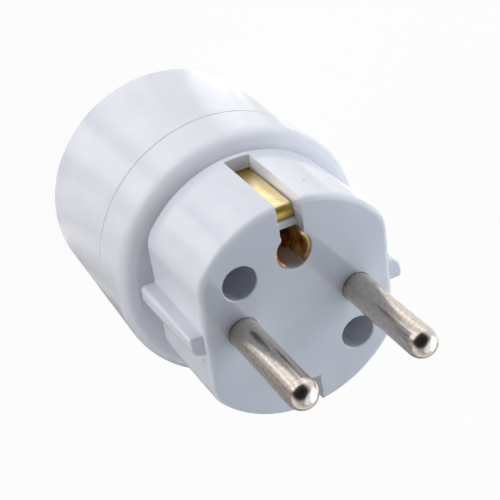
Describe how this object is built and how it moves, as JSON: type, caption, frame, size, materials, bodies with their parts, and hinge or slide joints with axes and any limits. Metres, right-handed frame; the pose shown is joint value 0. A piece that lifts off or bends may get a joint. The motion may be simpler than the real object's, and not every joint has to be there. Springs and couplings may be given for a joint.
{
  "type": "plug adapter",
  "caption": "Cylindrical travel plug adapter with two round pins, an earth hole, side earth contacts and an outlet in its rear face.",
  "frame": {"origin": "centre of the rear outlet face, on which the adapter stands", "axes": "+Z from the outlet face towards the pins, +X from the neutral pin to the live pin, +Y towards the plug's earth hole"},
  "size_m": [0.0424, 0.0424, 0.0686],
  "materials": {
    "white_abs": "gloss moulded ABS",
    "grey_pbt": "matt moulded PBT",
    "nickel_plated_brass": "satin nickel plate",
    "brass": "rolled strip",
    "spring_steel": "oiled",
    "zinc_plated_steel": "bright zinc"
  },
  "bodies": {
    "root": {"front_housing": "white_abs", "rear_shell": "white_abs", "contact_carrier": "grey_pbt", "live_pin": "nickel_plated_brass", "neutral_pin": "nickel_plated_brass", "earth_bow": "brass", "earth_sleeve": "brass", "outlet_earth_sleeve": "brass", "earth_sleeve_rivet": "brass", "outlet_sleeve_rivet": "brass", "live_contact": "brass", "neutral_contact": "brass", "live_contact_spring": "spring_steel", "neutral_contact_spring": "spring_steel", "live_lock_washer": "spring_steel", "neutral_lock_washer": "spring_steel", "live_terminal_screw": "zinc_plated_steel", "neutral_terminal_screw": "zinc_plated_steel", "case_screw_left": "zinc_plated_steel", "case_screw_right": "zinc_plated_steel"}
  },
  "joints": []
}
